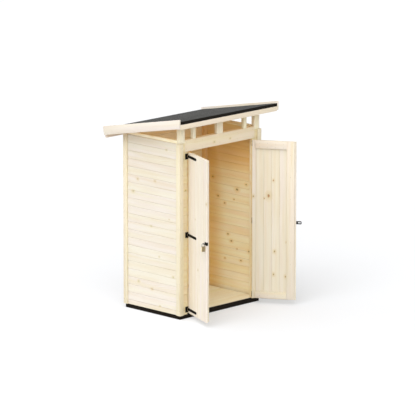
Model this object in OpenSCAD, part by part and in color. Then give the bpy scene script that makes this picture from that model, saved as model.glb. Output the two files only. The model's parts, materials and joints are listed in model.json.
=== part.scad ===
// Narrow tool shed with a single-pitch roof, two outward-opening doors,
// an open row of posts over the lintel, and a hasp with a padlock.
// Units are millimetres. The origin is at the middle of the base on the ground,
// +Z is up, the doors face -Y.

/* [Body] */
// Width over the wall boards
body_w = 1200; // [1000:10:1600]
// Depth over the wall boards
body_d = 820; // [600:10:1200]
// Height of the walls above the ground
wall_top = 1890; // [1600:10:2200]
// Thickness of the wall boards
board_t = 16; // [12:1:22]

/* [Base and floor] */
// Height of the base joists
base_h = 42; // [36:1:90]
// Width of the base joists
joist_w = 45; // [36:1:70]
// Thickness of the floor boards
floor_t = 16; // [12:1:28]
// Height of the strip under the doors, over the joists
threshold_h = 9; // [5:1:28]

/* [Framing] */
// Width of the front posts along the front wall
post_w = 70; // [45:1:80]
// Depth of the posts, and the width of the back ones
post_d = 45; // [34:1:60]
// Width of the wall plates
plate_w = 45; // [34:1:60]
// Height of the wall plates
plate_h = 32; // [22:1:45]
// Set-back of the wall plates from the face of the wall boards
plate_recess = 6; // [0:1:12]

/* [Corner boards and lintel] */
// Visible width of a corner board
trim_w = 55; // [40:1:90]
// Thickness of the corner boards
trim_t = 16; // [10:1:22]
// Height of the lintel board
lintel_h = 125; // [90:1:160]

/* [Open row under the roof] */
// Width of a stud
stud_w = 45; // [34:1:60]
// Depth of a stud
stud_d = 36; // [28:1:45]
// Width of a corner stud
corner_stud_w = 75; // [60:1:90]
// Depth of a corner stud
corner_stud_d = 45; // [34:1:60]
// Clear width of the two narrow outer openings
outer_opening_w = 120; // [60:5:200]
// Gap between the two middle studs
stud_pair_gap = 1; // [0.5:0.5:4]
// Height of the beam over the studs, at its front face
beam_h = 35; // [28:1:60]

/* [Roof] */
// Slope of the roof, falling to the back
roof_pitch = 11.1; // [6:0.1:18]
// Overhang at each side, to the outer face of the bargeboards
side_overhang = 150; // [80:5:250]
// Overhang at the front, to the face of the felt
front_overhang = 140; // [80:5:250]
// Overhang at the back, to the end of the deck
back_overhang = 170; // [80:5:250]
// Width of a rafter
rafter_w = 45; // [34:1:60]
// Depth of a rafter, square to the slope
rafter_h = 45; // [34:1:95]
// Thickness of the roof boards
deck_t = 16; // [12:1:22]
// Thickness of the roofing felt
felt_t = 3; // [2:0.5:5]
// Height of the felt turned down over the front and back edges
felt_lip = 34; // [20:1:50]
// Thickness of the bargeboards
barge_t = 22; // [16:1:28]
// Width of the bargeboards
barge_h = 95; // [90:1:145]
// How far the bargeboards stand above the felt
barge_upstand = 22; // [10:1:40]
// Thickness of the fascia boards
fascia_t = 22; // [16:1:28]
// Height of the front fascia at its back face
front_fascia_h = 62; // [50:1:120]
// Height of the rear fascia at its inner face
rear_fascia_h = 88; // [60:1:120]

/* [Doors] */
// Width of the boarded strip at each side of the doorway
door_side = 110; // [95:1:200]
// Gap beside the doors
door_gap = 6; // [5:0.5:10]
// Gap between the doors
door_mid_gap = 8; // [8:0.5:12]
// Gap under the doors
door_gap_bottom = 6; // [5.5:0.5:20]
// Gap over the doors
door_gap_top = 10; // [5:1:20]
// Thickness of the rails and stile behind the door boards
ledge_t = 20; // [16:1:25]
// Height of the top rail
top_rail_h = 85; // [60:1:120]
// Height of the bottom rail
bottom_rail_h = 68; // [60:1:120]
// Width of the stile at the free edge
stile_w = 85; // [60:1:100]
// Set-back of the rails from the hinge edge
ledge_hinge_inset = 40; // [36:1:60]
// Set-back of the stile from the free edge
ledge_free_inset = 16; // [6:1:30]
// Hairline where the rails butt against the stile
butt_gap = 0.5; // [0.3:0.1:1]
// How far the left door stands open, in degrees
left_door_open = 112; // [0:1:170]
// How far the right door stands open, in degrees
right_door_open = 122; // [0:1:170]

/* [Hinges] */
// Length of a hinge strap from its pin
strap_len = 215; // [140:5:260]
// Height of a strap at its knuckle
strap_h = 31; // [24:1:40]
// Height of a strap at its round tip
strap_tip_h = 28; // [16:1:28]
// How much lower the strap is than its knuckle, above and below
strap_shoulder = 1; // [0.5:0.5:1.5]
// Width of a hinge plate, from the pin to its outer edge
hinge_plate_w = 34; // [28:1:45]
// Height of a hinge plate
hinge_plate_h = 62; // [54:1:90]
// Thickness of the hinge metal
hinge_t = 2.5; // [2:0.5:4]
// Outer radius of the hinge knuckles
knuckle_r = 5; // [4.5:0.5:7]
// Radius of the hinge pins
pin_r = 2.5; // [2:0.25:3]
// Radial clearance of the pins in the strap knuckles
pin_clearance = 0.05; // [0.02:0.01:0.1]
// Gap between knuckles along a pin
knuckle_gap = 0.5; // [0.3:0.1:1]
// Gap between the knuckles and the boards behind them
knuckle_lift = 0.5; // [0.3:0.1:1]
// Distance of the end hinges from the ends of the door
hinge_end = 40; // [35:1:150]
// How far the middle hinge lies below the middle of the door
hinge_mid_drop = 19; // [0:1:60]

/* [Hasp and staple] */
// Height of the hasp and staple plates
hasp_h = 34; // [30:1:44]
// Thickness of the hasp metal
hasp_t = 2; // [1.5:0.5:3]
// Length of the fixed hasp plate beyond its pin
hasp_plate_len = 42; // [34:1:60]
// Distance of the hasp pin from the free edge of the right door
hasp_pin_inset = 18; // [14:1:30]
// How far the flap reaches past the free edge of the right door
flap_reach = 56; // [56:1:70]
// Length of the slot in the flap
slot_len = 34; // [32:1:36]
// Height of the slot in the flap
slot_h = 10; // [9:0.5:12]
// Outer radius of the hasp knuckles
hasp_knuckle_r = 4; // [3.5:0.5:5]
// Radius of the hasp pin
hasp_pin_r = 2; // [1.5:0.25:2.25]
// Distance of the staple from the free edge of the left door
staple_inset = 25; // [22:1:28]
// Length of the staple plate on the face of the left door
staple_plate_len = 46; // [40:1:50]
// Radius of the staple wire
staple_r = 3.5; // [2.5:0.5:3.5]
// Half the distance between the staple legs
staple_half = 10; // [9.5:0.5:10.5]
// Bend radius at the staple corners
staple_bend = 4; // [3.8:0.1:4.5]
// Distance of the staple bar from the door face
staple_out = 28; // [26:1:34]

/* [Padlock] */
// Width of the padlock body
lock_w = 40; // [38:1:42]
// Height of the padlock body
lock_h = 54; // [36:1:56]
// Thickness of the padlock body
lock_t = 17; // [14:1:18]
// Radius of the padlock's upright edges
lock_edge_r = 5; // [3:0.5:6]
// Radius of the shackle rod
shackle_r = 3.25; // [3:0.25:3.5]
// Clear half width inside the shackle
shackle_inner = 11; // [10.5:0.5:11.5]
// Drop from the staple bar's centre to the top of the padlock body
lock_drop = 27; // [26:1:34]
// Depth of the shackle's holes in the padlock body
shackle_sink = 14; // [10:1:18]
// Gap at rods that touch, such as the shackle on the staple
rod_gap = 0.3; // [0.2:0.1:0.5]

/* [Hidden] */
$fn = 48;

SPRUCE = [0.93, 0.85, 0.72];
STAINED = [0.12, 0.10, 0.08];
FELT = [0.25, 0.26, 0.27];
BLACK_STEEL = [0.05, 0.05, 0.05];
BRASS = [0.80, 0.62, 0.25];
STEEL = [0.75, 0.75, 0.76];

// How far the cutting shapes pass the faces they cut, and small gaps round the knuckles
overcut = 1;
knuckle_room = 1;
// How far the lower back corner of a bargeboard stands in from the end of the roof boards
barge_end_inset = 5;

// Faces of the body and levels of the building
side_x = body_w / 2;
front_y = -body_d / 2;
back_y = body_d / 2;
floor_top = base_h + floor_t;
plate_top = wall_top + plate_h;
lintel_bottom = plate_top - lintel_h;
inner_x = side_x - board_t;
corner_inner_x = side_x - corner_stud_w;

// The underside of the rafters passes through the inner top edge of the back plate
plate_seat_y = back_y - plate_w;
roof_fall = tan(roof_pitch);
roof_cos = cos(roof_pitch);
function rafter_z(y) = plate_top + (plate_seat_y - y) * roof_fall;
function deck_z(y) = rafter_z(y) + rafter_h / roof_cos;
function felt_z(y) = deck_z(y) + deck_t / roof_cos;
function roof_top_z(y) = felt_z(y) + felt_t / roof_cos;
beam_bottom = rafter_z(front_y) - beam_h;

// Edges of the roof
roof_x = side_x + side_overhang;
deck_x = roof_x - barge_t;
felt_front_y = front_y - front_overhang;
deck_front_y = felt_front_y + felt_t;
deck_back_y = back_y + back_overhang;
front_fascia_back_y = deck_front_y + fascia_t;
rear_fascia_inner_y = deck_back_y - fascia_t;
barge_back_y = deck_back_y - barge_end_inset;

// Centres of the narrow studs, and of the rafters
outer_stud_x = corner_inner_x - outer_opening_w - stud_w / 2;
pair_stud_x = (stud_w + stud_pair_gap) / 2;
rafter_xs = [-side_x + corner_stud_w / 2, 0, side_x - corner_stud_w / 2];

// Doors: sizes of one leaf, shut
doorway_w = body_w - 2 * door_side;
leaf_w = (doorway_w - 2 * door_gap - door_mid_gap) / 2;
leaf_x = doorway_w / 2 - door_gap;
leaf_bottom = base_h + threshold_h + door_gap_bottom;
ledge_bottom = floor_top + door_gap_bottom;
floor_front_y = front_y + board_t + door_gap_bottom;
leaf_top = lintel_bottom - door_gap_top;
ledge_y = front_y + board_t;
hinge_x = doorway_w / 2 - door_gap / 2;
hinge_y = front_y - knuckle_lift - knuckle_r;
leaf_mid = (leaf_bottom + leaf_top) / 2;
hinge_zs = [leaf_bottom + hinge_end, leaf_mid - hinge_mid_drop, leaf_top - hinge_end];

// Hasp, staple and padlock share the middle hinge's height
hasp_z = leaf_mid - hinge_mid_drop;
leaf_free_x = door_mid_gap / 2;
hasp_pin_x = leaf_free_x + hasp_pin_inset;
hasp_pin_y = front_y - hasp_knuckle_r - knuckle_lift;
flap_end_x = leaf_free_x - flap_reach;
staple_x = -leaf_free_x - staple_inset;
staple_bar_y = front_y - staple_out;
shackle_half = shackle_inner + shackle_r;
shackle_arch_z = hasp_z + staple_r + rod_gap - shackle_inner;
lock_top = hasp_z - lock_drop;
keyway_r = 6.5;
keyway_h = 1;
keyway_slot_w = 2;

// A box from one corner to the opposite one
module block(low, high) {
    translate(low) cube(high - low);
}

// A profile of [y, z] points, drawn out along X from x0 to x1
module along_x(x0, x1, profile) {
    translate([x0, 0, 0]) rotate([90, 0, 90]) linear_extrude(x1 - x0) polygon(profile);
}

// Both the piece and its mirror image on the other side
module both_sides() {
    children();
    mirror([1, 0, 0]) children();
}

// ---- Base and floor ----

module base_end_joists() color(STAINED) {
    block([-side_x, front_y, 0], [side_x, front_y + joist_w, base_h]);
    block([-side_x, back_y - joist_w, 0], [side_x, back_y, base_h]);
}

module base_side_joists() color(STAINED) {
    joist_front = front_y + joist_w + butt_gap;
    joist_back = back_y - joist_w - butt_gap;
    for (x = [-side_x, -joist_w / 2, side_x - joist_w])
        block([x, joist_front, 0], [x + joist_w, joist_back, base_h]);
}

module threshold() color(STAINED)
    block([-doorway_w / 2, front_y, base_h],
        [doorway_w / 2, front_y + board_t, base_h + threshold_h]);

// The floor stops short of the doors, whose lower edges hang below its top
module floor_boards() color(SPRUCE)
    block([-inner_x, floor_front_y, base_h], [inner_x, back_y - board_t, floor_top]);

// ---- Walls ----

module side_wall() color(SPRUCE)
    block([-side_x, front_y, base_h], [-inner_x, back_y, wall_top]);

module back_wall() color(SPRUCE)
    block([-inner_x, back_y - board_t, base_h], [inner_x, back_y, wall_top]);

// Boarded strip beside the doorway, stepped back at the top for the lintel's end
module front_panel() color(SPRUCE)
    translate([0, front_y + board_t, 0]) rotate([90, 0, 0]) linear_extrude(board_t)
        polygon([[-inner_x, base_h], [-doorway_w / 2, base_h], [-doorway_w / 2, lintel_bottom],
            [-corner_inner_x, lintel_bottom], [-corner_inner_x, wall_top], [-inner_x, wall_top]]);

module front_posts() color(SPRUCE) both_sides()
    block([-inner_x, front_y + board_t, floor_top],
        [-inner_x + post_w, front_y + board_t + post_d, wall_top]);

module back_posts() color(SPRUCE) both_sides()
    block([-inner_x, back_y - board_t - post_d, floor_top],
        [-inner_x + post_d, back_y - board_t, wall_top]);

module lintel() color(SPRUCE)
    block([-corner_inner_x, front_y, lintel_bottom], [corner_inner_x, front_y + board_t, plate_top]);

module front_plate() color(SPRUCE)
    block([-corner_inner_x, front_y + board_t, wall_top],
        [corner_inner_x, front_y + board_t + post_d, plate_top]);

module side_plates() color(SPRUCE) both_sides()
    block([-side_x + plate_recess, front_y + corner_stud_d, wall_top],
        [-side_x + plate_recess + plate_w, plate_seat_y, plate_top]);

// The back plate is bevelled to the slope of the rafters
module back_plate() color(SPRUCE) {
    plate_back_y = back_y - plate_recess;
    along_x(-side_x + plate_recess, side_x - plate_recess,
        [[plate_seat_y, wall_top], [plate_back_y, wall_top],
            [plate_back_y, rafter_z(plate_back_y)], [plate_seat_y, plate_top]]);
}

// Two boards in an L round a corner, the front one covering the edge of the side one
module corner_boards(front) {
    sgn = front ? 1 : -1;
    outer_x = side_x + trim_t;
    color(SPRUCE) translate([0, 0, base_h]) linear_extrude(wall_top - base_h)
        scale([1, sgn]) polygon([[-outer_x, front_y - trim_t], [-outer_x + trim_w, front_y - trim_t],
            [-outer_x + trim_w, front_y], [-side_x, front_y],
            [-side_x, front_y - trim_t + trim_w], [-outer_x, front_y - trim_t + trim_w]]);
}

// ---- Open row over the lintel ----

module stud(x, width, depth, bottom) {
    block([x - width / 2, front_y, bottom], [x + width / 2, front_y + depth, beam_bottom]);
}

module clerestory_studs() color(SPRUCE) both_sides() {
    stud(-side_x + corner_stud_w / 2, corner_stud_w, corner_stud_d, wall_top);
    stud(-outer_stud_x, stud_w, stud_d, plate_top);
    stud(-pair_stud_x, stud_w, stud_d, plate_top);
}

// The beam's top is planed to the slope of the rafters
module top_beam() color(SPRUCE) {
    beam_back_y = front_y + corner_stud_d;
    along_x(-side_x, side_x, [[front_y, beam_bottom], [beam_back_y, beam_bottom],
        [beam_back_y, rafter_z(beam_back_y)], [front_y, rafter_z(front_y)]]);
}

// ---- Roof ----

module rafters() color(SPRUCE)
    for (x = rafter_xs)
        along_x(x - rafter_w / 2, x + rafter_w / 2,
            [[front_fascia_back_y, rafter_z(front_fascia_back_y)],
                [rear_fascia_inner_y, rafter_z(rear_fascia_inner_y)],
                [rear_fascia_inner_y, deck_z(rear_fascia_inner_y)],
                [front_fascia_back_y, deck_z(front_fascia_back_y)]]);

module roof_deck() color(SPRUCE)
    along_x(-deck_x, deck_x, [[deck_front_y, deck_z(deck_front_y)], [deck_back_y, deck_z(deck_back_y)],
        [deck_back_y, felt_z(deck_back_y)], [deck_front_y, felt_z(deck_front_y)]]);

// Felt over the deck, turned down over its front and back edges
module roof_felt() {
    felt_back_y = deck_back_y + felt_t;
    front_lip_z = roof_top_z(felt_front_y) - felt_lip;
    back_lip_z = roof_top_z(felt_back_y) - felt_lip;
    color(FELT) along_x(-deck_x, deck_x,
        [[felt_front_y, front_lip_z], [deck_front_y, front_lip_z],
            [deck_front_y, felt_z(deck_front_y)], [deck_back_y, felt_z(deck_back_y)],
            [deck_back_y, back_lip_z], [felt_back_y, back_lip_z],
            [felt_back_y, roof_top_z(felt_back_y)], [felt_front_y, roof_top_z(felt_front_y)]]);
}

module front_fascia() {
    fascia_bottom = deck_z(front_fascia_back_y) - front_fascia_h;
    color(SPRUCE) along_x(-deck_x, deck_x, [[deck_front_y, fascia_bottom],
        [front_fascia_back_y, fascia_bottom], [front_fascia_back_y, deck_z(front_fascia_back_y)],
        [deck_front_y, deck_z(deck_front_y)]]);
}

module rear_fascia() {
    fascia_bottom = deck_z(rear_fascia_inner_y) - rear_fascia_h;
    color(SPRUCE) along_x(-deck_x, deck_x, [[rear_fascia_inner_y, fascia_bottom],
        [deck_back_y, fascia_bottom], [deck_back_y, deck_z(deck_back_y)],
        [rear_fascia_inner_y, deck_z(rear_fascia_inner_y)]]);
}

// Bargeboard with a plumb front end and a square-cut back end
module bargeboard() {
    function edge_top(y) = roof_top_z(y) + barge_upstand / roof_cos;
    function edge_bottom(y) = edge_top(y) - barge_h / roof_cos;
    cut_y = barge_back_y + barge_h * sin(roof_pitch);
    color(SPRUCE) along_x(-roof_x, -deck_x, [[felt_front_y, edge_bottom(felt_front_y)],
        [barge_back_y, edge_bottom(barge_back_y)], [cut_y, edge_top(cut_y)],
        [felt_front_y, edge_top(felt_front_y)]]);
}

// ---- T-hinges: a plate with two knuckles and the pin, and a strap with the middle knuckle ----

module hinge_barrel(z0, z1, radius) {
    translate([-hinge_x, hinge_y, z0]) cylinder(r = radius, h = z1 - z0);
}

module hinge_plates() {
    knuckle_z = strap_h / 2 + knuckle_gap;
    notch_x = knuckle_r + knuckle_room;
    color(BLACK_STEEL) for (z = hinge_zs) {
        difference() {
            block([-hinge_x - hinge_plate_w, front_y - hinge_t, z - hinge_plate_h / 2],
                [-hinge_x, front_y, z + hinge_plate_h / 2]);
            block([-hinge_x - notch_x, front_y - hinge_t - overcut, z - knuckle_z],
                [-hinge_x + overcut, front_y + overcut, z + knuckle_z]);
        }
        hinge_barrel(z - hinge_plate_h / 2, z - knuckle_z, knuckle_r);
        hinge_barrel(z + knuckle_z, z + hinge_plate_h / 2, knuckle_r);
        hinge_barrel(z - hinge_plate_h / 2, z + hinge_plate_h / 2, pin_r);
    }
}

module strap_outline() {
    tip_r = strap_tip_h / 2;
    tip_x = strap_len - tip_r;
    root_half = strap_h / 2 - strap_shoulder;
    polygon([[0, -root_half], [tip_x, -tip_r], [tip_x, tip_r], [0, root_half]]);
    translate([tip_x, 0]) circle(r = tip_r);
}

module door_straps() color(BLACK_STEEL)
    for (z = hinge_zs)
        difference() {
            union() {
                translate([-hinge_x, front_y, z]) rotate([90, 0, 0])
                    linear_extrude(hinge_t) strap_outline();
                hinge_barrel(z - strap_h / 2, z + strap_h / 2, knuckle_r);
            }
            hinge_barrel(z - strap_h, z + strap_h, pin_r + pin_clearance);
        }

// ---- Door leaves, shut, as the left one ----

module door_boards() color(SPRUCE)
    block([-leaf_x, front_y, leaf_bottom], [-leaf_x + leaf_w, front_y + board_t, leaf_top]);

// Two rails that butt against a stile at the free edge
module door_ledges() {
    stile_x1 = -leaf_x + leaf_w - ledge_free_inset;
    stile_x0 = stile_x1 - stile_w;
    rail_x0 = -leaf_x + ledge_hinge_inset;
    rail_x1 = stile_x0 - butt_gap;
    color(SPRUCE) {
        block([stile_x0, ledge_y, ledge_bottom], [stile_x1, ledge_y + ledge_t, leaf_top]);
        block([rail_x0, ledge_y, ledge_bottom],
            [rail_x1, ledge_y + ledge_t, ledge_bottom + bottom_rail_h]);
        block([rail_x0, ledge_y, leaf_top - top_rail_h], [rail_x1, ledge_y + ledge_t, leaf_top]);
    }
}

// ---- Hasp and staple, doors shut ----

// A round rod along an axis of the shut doors: "x", "y" or "z"
module rod(at, axis, length, radius) {
    turn = axis == "x" ? [0, 90, 0] : axis == "y" ? [-90, 0, 0] : [0, 0, 0];
    translate(at) rotate(turn) cylinder(r = radius, h = length);
}

module staple_bend_piece(sgn) {
    translate([staple_x + sgn * (staple_half - staple_bend), staple_bar_y + staple_bend, hasp_z])
        scale([sgn, 1, 1]) rotate([0, 0, -90]) rotate_extrude(angle = 90)
            translate([staple_bend, 0]) circle(r = staple_r);
}

// The staple is riveted to an angle plate that is folded over the free edge of the door
module staple() color(BLACK_STEEL) {
    bar_half = staple_half - staple_bend;
    block([-leaf_free_x - staple_plate_len, front_y - hasp_t, hasp_z - hasp_h / 2],
        [-leaf_free_x, front_y, hasp_z + hasp_h / 2]);
    block([-leaf_free_x, front_y - hasp_t, hasp_z - hasp_h / 2],
        [-leaf_free_x + hasp_t, front_y + board_t, hasp_z + hasp_h / 2]);
    rod([staple_x - bar_half, staple_bar_y, hasp_z], "x", 2 * bar_half, staple_r);
    for (sgn = [-1, 1]) {
        staple_bend_piece(sgn);
        rod([staple_x + sgn * staple_half, staple_bar_y + staple_bend, hasp_z], "y",
            staple_out - staple_bend, staple_r);
    }
}

hasp_knuckle_z = hasp_h / 4;

module hasp_plate() color(BLACK_STEEL) {
    difference() {
        block([hasp_pin_x, front_y - hasp_t, hasp_z - hasp_h / 2],
            [hasp_pin_x + hasp_plate_len, front_y, hasp_z + hasp_h / 2]);
        block([hasp_pin_x - overcut, front_y - hasp_t - overcut,
                hasp_z - hasp_knuckle_z - knuckle_gap],
            [hasp_pin_x + hasp_knuckle_r + knuckle_room, front_y + overcut,
                hasp_z + hasp_knuckle_z + knuckle_gap]);
    }
    for (z = [hasp_z - hasp_h / 2, hasp_z + hasp_knuckle_z + knuckle_gap])
        rod([hasp_pin_x, hasp_pin_y, z], "z", hasp_h / 2 - hasp_knuckle_z - knuckle_gap, hasp_knuckle_r);
    rod([hasp_pin_x, hasp_pin_y, hasp_z - hasp_h / 2], "z", hasp_h, hasp_pin_r);
}

module flap_outline() {
    corner_r = hasp_h / 4;
    neck_x = hasp_pin_x - hasp_knuckle_r - knuckle_room;
    difference() {
        union() {
            translate([flap_end_x + corner_r, -hasp_h / 2]) square([neck_x - flap_end_x - corner_r, hasp_h]);
            translate([flap_end_x, -hasp_h / 2 + corner_r]) square([corner_r, hasp_h - 2 * corner_r]);
            for (z = [-1, 1])
                translate([flap_end_x + corner_r, z * (hasp_h / 2 - corner_r)]) circle(r = corner_r);
            translate([neck_x - overcut, -hasp_knuckle_z])
                square([hasp_pin_x - neck_x + overcut, 2 * hasp_knuckle_z]);
        }
        translate([staple_x, 0]) {
            square([slot_len - slot_h, slot_h], center = true);
            for (x = [-1, 1]) translate([x * (slot_len - slot_h) / 2, 0]) circle(r = slot_h / 2);
        }
    }
}

module hasp_flap() color(BLACK_STEEL)
    difference() {
        union() {
            translate([0, hasp_pin_y + hasp_t / 2, hasp_z]) rotate([90, 0, 0])
                linear_extrude(hasp_t) flap_outline();
            rod([hasp_pin_x, hasp_pin_y, hasp_z - hasp_knuckle_z], "z", 2 * hasp_knuckle_z, hasp_knuckle_r);
        }
        rod([hasp_pin_x, hasp_pin_y, hasp_z - hasp_h], "z", 2 * hasp_h, hasp_pin_r + pin_clearance);
    }

// ---- Padlock, hanging from the staple bar, its shackle square to the door ----

module lock_outline() {
    square([lock_t - 2 * lock_edge_r, lock_w], center = true);
    square([lock_t, lock_w - 2 * lock_edge_r], center = true);
    for (x = [-1, 1], y = [-1, 1])
        translate([x * (lock_t / 2 - lock_edge_r), y * (lock_w / 2 - lock_edge_r)])
            circle(r = lock_edge_r);
}

module padlock_body() color(BRASS)
    translate([staple_x, staple_bar_y, lock_top]) {
        difference() {
            translate([0, 0, -lock_h]) linear_extrude(lock_h) lock_outline();
            for (y = [-1, 1])
                rod([0, y * shackle_half, -shackle_sink], "z", shackle_sink + overcut,
                    shackle_r + rod_gap / 2);
        }
        difference() {
            rod([0, 0, -lock_h - keyway_h], "z", keyway_h, keyway_r);
            block([-keyway_slot_w / 2, -keyway_r / 2, -lock_h - keyway_h - overcut],
                [keyway_slot_w / 2, keyway_r / 2, -lock_h]);
        }
    }

module padlock_shackle() color(STEEL)
    translate([staple_x, staple_bar_y, shackle_arch_z]) {
        leg_len = shackle_arch_z - lock_top + shackle_sink - rod_gap;
        rotate([90, 0, 90]) rotate_extrude(angle = 180) translate([shackle_half, 0]) circle(r = shackle_r);
        for (y = [-1, 1]) rod([0, y * shackle_half, -leg_len], "z", leg_len, shackle_r);
    }

// ---- The doors swung open about their hinge pins ----

module left_door() {
    translate([-hinge_x, hinge_y, 0]) rotate([0, 0, -left_door_open])
        translate([hinge_x, -hinge_y, 0]) children();
}

module right_door() {
    translate([hinge_x, hinge_y, 0]) rotate([0, 0, right_door_open])
        translate([-hinge_x, -hinge_y, 0]) children();
}

base_end_joists();
base_side_joists();
threshold();
floor_boards();  // floor
side_wall();  // left_wall
mirror([1, 0, 0]) side_wall();  // right_wall
back_wall();
front_panel();  // front_panel_left
mirror([1, 0, 0]) front_panel();  // front_panel_right
front_posts();
back_posts();
lintel();
front_plate();
side_plates();
back_plate();
clerestory_studs();
top_beam();
rafters();
roof_deck();
roof_felt();
front_fascia();
rear_fascia();
bargeboard();  // left_bargeboard
mirror([1, 0, 0]) bargeboard();  // right_bargeboard
corner_boards(true);  // corner_boards_front_left
mirror([1, 0, 0]) corner_boards(true);  // corner_boards_front_right
corner_boards(false);  // corner_boards_back_left
mirror([1, 0, 0]) corner_boards(false);  // corner_boards_back_right
hinge_plates();  // hinge_plates_left
mirror([1, 0, 0]) hinge_plates();  // hinge_plates_right
left_door() door_boards();  // left_door_boards
left_door() door_ledges();  // left_door_ledges
left_door() door_straps();  // left_door_straps
left_door() staple();
left_door() padlock_body();
left_door() padlock_shackle();
right_door() mirror([1, 0, 0]) door_boards();  // right_door_boards
right_door() mirror([1, 0, 0]) door_ledges();  // right_door_ledges
right_door() mirror([1, 0, 0]) door_straps();  // right_door_straps
right_door() hasp_plate();
right_door() hasp_flap();
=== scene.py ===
import json
import math
import random

import bmesh
import bpy
from mathutils import Matrix, Vector


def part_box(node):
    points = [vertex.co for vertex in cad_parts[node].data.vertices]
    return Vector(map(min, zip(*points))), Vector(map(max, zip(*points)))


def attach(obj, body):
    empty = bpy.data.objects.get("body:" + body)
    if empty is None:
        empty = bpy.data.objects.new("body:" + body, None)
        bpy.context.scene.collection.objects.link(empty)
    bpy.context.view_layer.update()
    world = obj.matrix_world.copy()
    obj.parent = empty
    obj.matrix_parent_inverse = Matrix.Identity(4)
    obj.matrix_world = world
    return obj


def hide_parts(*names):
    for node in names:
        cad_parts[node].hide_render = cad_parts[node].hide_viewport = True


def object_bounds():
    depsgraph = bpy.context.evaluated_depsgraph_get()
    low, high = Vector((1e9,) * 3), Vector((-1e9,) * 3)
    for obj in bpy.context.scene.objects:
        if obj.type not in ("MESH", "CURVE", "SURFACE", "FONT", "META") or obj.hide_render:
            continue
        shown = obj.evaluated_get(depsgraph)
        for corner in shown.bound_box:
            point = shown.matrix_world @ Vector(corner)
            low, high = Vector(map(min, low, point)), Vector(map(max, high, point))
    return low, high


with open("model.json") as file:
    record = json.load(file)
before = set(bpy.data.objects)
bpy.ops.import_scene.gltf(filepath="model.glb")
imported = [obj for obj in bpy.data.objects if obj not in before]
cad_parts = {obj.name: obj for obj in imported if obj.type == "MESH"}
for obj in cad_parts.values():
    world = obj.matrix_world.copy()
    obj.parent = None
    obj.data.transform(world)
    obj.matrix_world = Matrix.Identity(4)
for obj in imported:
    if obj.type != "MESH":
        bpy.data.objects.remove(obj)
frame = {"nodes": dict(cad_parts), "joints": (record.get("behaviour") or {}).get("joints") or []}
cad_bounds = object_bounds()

# ======== Base ========
# Spruce joists stained black lie flat on the ground: a long one under the front and the back, three
# short ones nailed between them, and a strip on the front one that closes the doorway's foot.

ARRIS = 0.0016
STAIN_DARK = (0.006, 0.004, 0.002, 1)
STAIN_LIGHT = (0.013, 0.009, 0.005, 1)


def feed(tree, socket, value):
    """Links another node's output to a socket, or sets the socket to a plain value."""
    if isinstance(value, bpy.types.NodeSocket):
        tree.links.new(value, socket)
    else:
        socket.default_value = value


def add(tree, kind, inputs=(), **settings):
    """A new node, with its settings, and its inputs given in order or by name."""
    new = tree.nodes.new(kind)
    for name, value in settings.items():
        setattr(new, name, value)
    for socket, value in inputs.items() if isinstance(inputs, dict) else enumerate(inputs):
        feed(tree, new.inputs[socket], value)
    return new


def maths(tree, operation, *values, clamp=False):
    """The output of a Math node."""
    return add(tree, "ShaderNodeMath", values, operation=operation, use_clamp=clamp).outputs[0]


def ramp(tree, value, low, high, start=0.0, end=1.0):
    """value, carried smoothly from low..high to start..end."""
    return add(tree, "ShaderNodeMapRange", [value, low, high, start, end],
               interpolation_type="SMOOTHSTEP").outputs[0]


def mixed(tree, amount, first, second, how="MIX"):
    """The output of a colour Mix node."""
    node = add(tree, "ShaderNodeMix", data_type="RGBA", blend_type=how)
    for socket, value in ((0, amount), (6, first), (7, second)):
        feed(tree, node.inputs[socket], value)
    return node.outputs[2]


def group(name, kind, inputs, outputs):
    """An empty node group with named sockets; returns it with its input and output nodes."""
    tree = bpy.data.node_groups.new(name, kind)
    for direction, sockets in (("INPUT", inputs), ("OUTPUT", outputs)):
        for label, socket in sockets.items():
            tree.interface.new_socket(label, in_out=direction, socket_type="NodeSocket" + socket)
    return tree, tree.nodes.new("NodeGroupInput"), tree.nodes.new("NodeGroupOutput")


def placed(tree, shared, inputs):
    """The outputs of a node group placed in a material or in another group."""
    return add(tree, "ShaderNodeGroup", inputs, node_tree=shared).outputs


def blank_material(name):
    """A new material with its tree and its shader."""
    material = bpy.data.materials.new(name)
    material.use_nodes = True
    return material, material.node_tree, material.node_tree.nodes["Principled BSDF"]


def bumped(tree, shader, height, distance, strength):
    """Lets a height of 0 to 1 stand out by distance, in metres."""
    bump = add(tree, "ShaderNodeBump", {"Height": height, "Distance": distance, "Strength": strength})
    tree.links.new(bump.outputs[0], shader.inputs["Normal"])


# The figure of sawn spruce. Place runs along the grain in X, across it in Y and into the wood in Z,
# in metres. Nearest is the distance to the closest knot, counted in knot sizes.
LOG_SHIFT = (37.0, 3.1, 5.3)    # how far apart in the log two boards are cut, in X, Y and Z
RING_WAVES = 900.0              # radians a metre, so a ring every 7 mm
RING_SWAY = 75.0                # radians that a ring wanders along its board
KNOT_BEND = 22.0                # radians that the rings bend round a knot
KNOT_BEND_FADE = -0.22          # how soon that bend dies out, over the square of knot sizes
LATE_SHARPNESS = 2.6            # how thin and dark the late wood of a ring is
BOARD_DIFFERENCE = 0.12         # how much darker one board may be than another
HUES = ((1.0, 0.99, 0.91, 1), (1.0, 0.975, 0.965, 1))
RESIN = (0.98, 0.99, 0.87, 1)
KNOT_KINDS = ((1.08, 0.92, 0.85, 1), (0.90, 1.22, 0.95, 1))
KNOT_RING_WAVES = 22.0
KNOT_SHAPE = (0.72, 1.0, 0.0)   # a knot is longer along the grain, and goes right through the board
NO_KNOT = 9.0                   # how far off, in knot sizes, a knot no longer shows

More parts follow.
